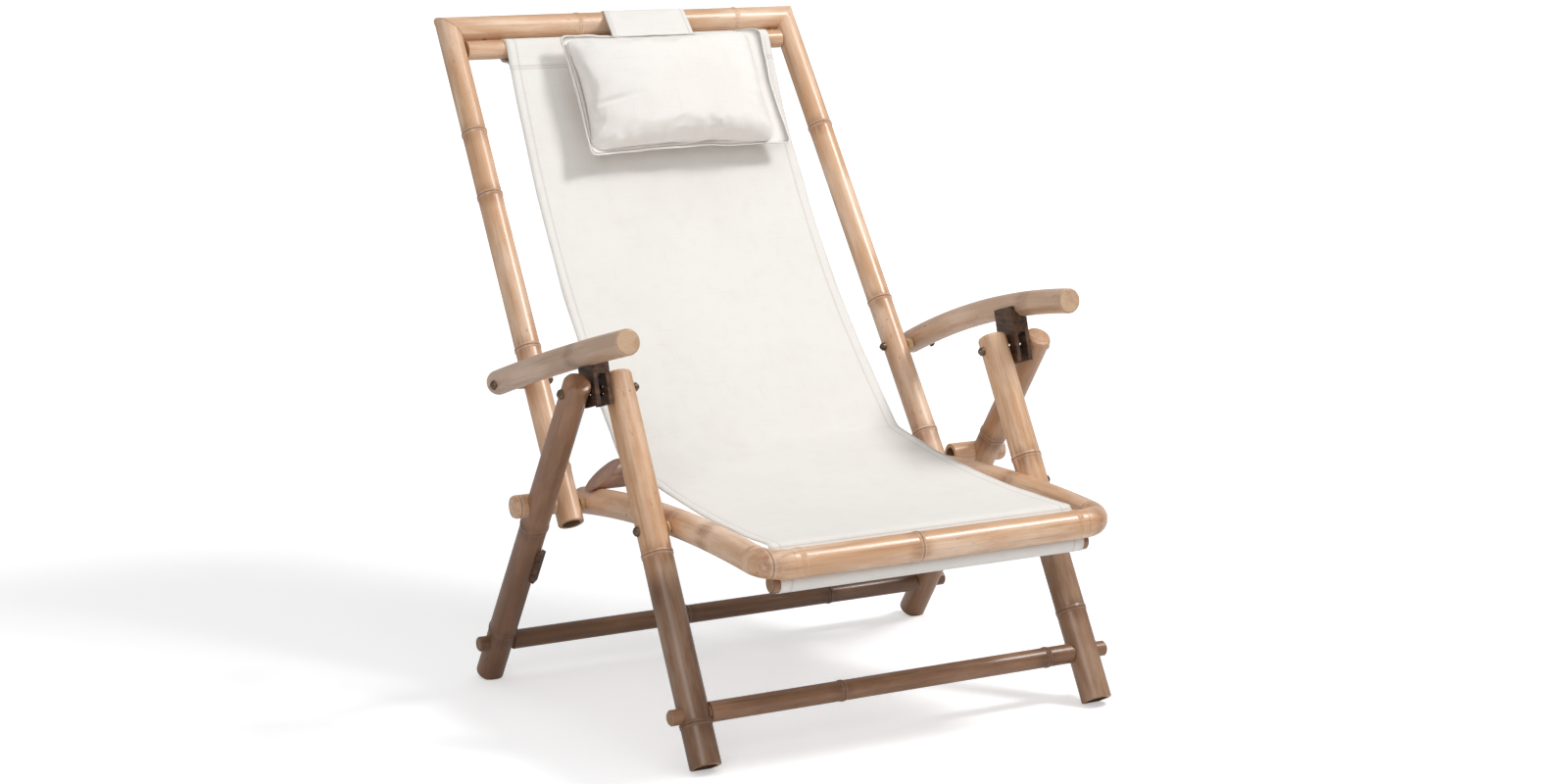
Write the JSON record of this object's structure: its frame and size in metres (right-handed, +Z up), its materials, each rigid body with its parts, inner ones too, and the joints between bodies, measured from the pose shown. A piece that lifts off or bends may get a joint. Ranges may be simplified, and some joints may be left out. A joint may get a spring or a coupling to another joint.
{
  "type": "folding recliner",
  "caption": "Folding recliner of bamboo poles with a canvas sling seat, armrests and a small strapped head pillow.",
  "frame": {"origin": "centre of the object's bounding box, at floor level", "axes": "+Z up, -Y the way the sitter faces, +X across, to the side on the right as seen from in front looking at the back frame"},
  "size_m": [0.786, 0.9438, 0.9238],
  "materials": {
    "bamboo": "dried yellow bamboo, satin, with darker rings at the nodes",
    "bamboo_arm": "weathered bamboo, greyer and pinker than the frame",
    "dark_wood": "dark stained hardwood, matt",
    "steel": "plain steel, dulled",
    "fibre": "pale pressed fibre washer stock",
    "canvas": "off-white cotton canvas",
    "pillow_canvas": "off-white cotton canvas over soft filling"
  },
  "bodies": {
    "front_legs": {"front_leg_left": "bamboo", "front_leg_right": "bamboo", "front_stretcher": "bamboo", "leg_pivot_bolts": "steel", "leg_pivot_nuts": "steel", "seat_pivot_bolts": "steel", "seat_pivot_nuts": "steel", "seat_pivot_spacers": "fibre"},
    "rear_legs": {"rear_leg_left": "bamboo", "rear_leg_right": "bamboo", "rear_stretcher": "bamboo", "stop_peg_left": "bamboo", "stop_peg_right": "bamboo", "rear_leg_batten_left": "dark_wood", "rear_leg_batten_right": "dark_wood"},
    "seat": {"seat_side_rail_left": "bamboo", "seat_side_rail_right": "bamboo", "seat_front_rail": "bamboo", "seat_cross_bar": "bamboo", "sling_lower_bar": "bamboo", "lower_bar_pegs": "dark_wood", "back_pivot_bolts": "steel", "back_pivot_nuts": "steel", "back_pivot_spacers": "fibre"},
    "back": {"back_stile_left": "bamboo", "back_stile_right": "bamboo", "back_top_rail": "bamboo", "sling_upper_bar": "bamboo", "upper_bar_pegs": "dark_wood", "arm_pivot_bolts": "steel", "arm_pivot_nuts": "steel", "arm_pivot_spacers": "fibre", "sling": "canvas", "head_pillow": "pillow_canvas", "pillow_strap": "canvas"},
    "arm_left": {"armrest_left": "bamboo_arm", "arm_hanger_left": "dark_wood", "arm_hanger_screws_left": "steel"},
    "arm_right": {"armrest_right": "bamboo_arm", "arm_hanger_right": "dark_wood", "arm_hanger_screws_right": "steel"}
  },
  "joints": [
    {"name": "seat_fold", "type": "hinge", "parent": "front_legs", "child": "seat", "pos_m": [0, -0.22207, 0.286], "axis": [-1, 0, 0], "range_deg": [0, 95]},
    {"name": "back_fold", "type": "hinge", "parent": "seat", "child": "back", "pos_m": [0, 0.03783, 0.271], "axis": [1, 0, 0], "range_deg": [0, 98], "deforming": ["sling"]},
    {"name": "arm_left_fold", "type": "hinge", "parent": "back", "child": "arm_left", "pos_m": [-0.338, 0.14107, 0.429], "axis": [-1, 0, 0], "range_deg": [0, 94]},
    {"name": "arm_right_fold", "type": "hinge", "parent": "back", "child": "arm_right", "pos_m": [0.338, 0.14107, 0.429], "axis": [-1, 0, 0], "range_deg": [0, 94]},
    {"name": "rear_leg_fold", "type": "hinge", "parent": "front_legs", "child": "rear_legs", "pos_m": [0, -0.1292, 0.458], "axis": [-1, 0, 0], "range_deg": [0, 56.5]}
  ],
  "couplings": [
    {"joint": "back_fold", "follows": "seat_fold", "ratio": 1.027},
    {"joint": "arm_left_fold", "follows": "seat_fold", "ratio": 0.985},
    {"joint": "arm_right_fold", "follows": "seat_fold", "ratio": 0.985},
    {"joint": "rear_leg_fold", "follows": "seat_fold", "ratio": 0.59}
  ]
}
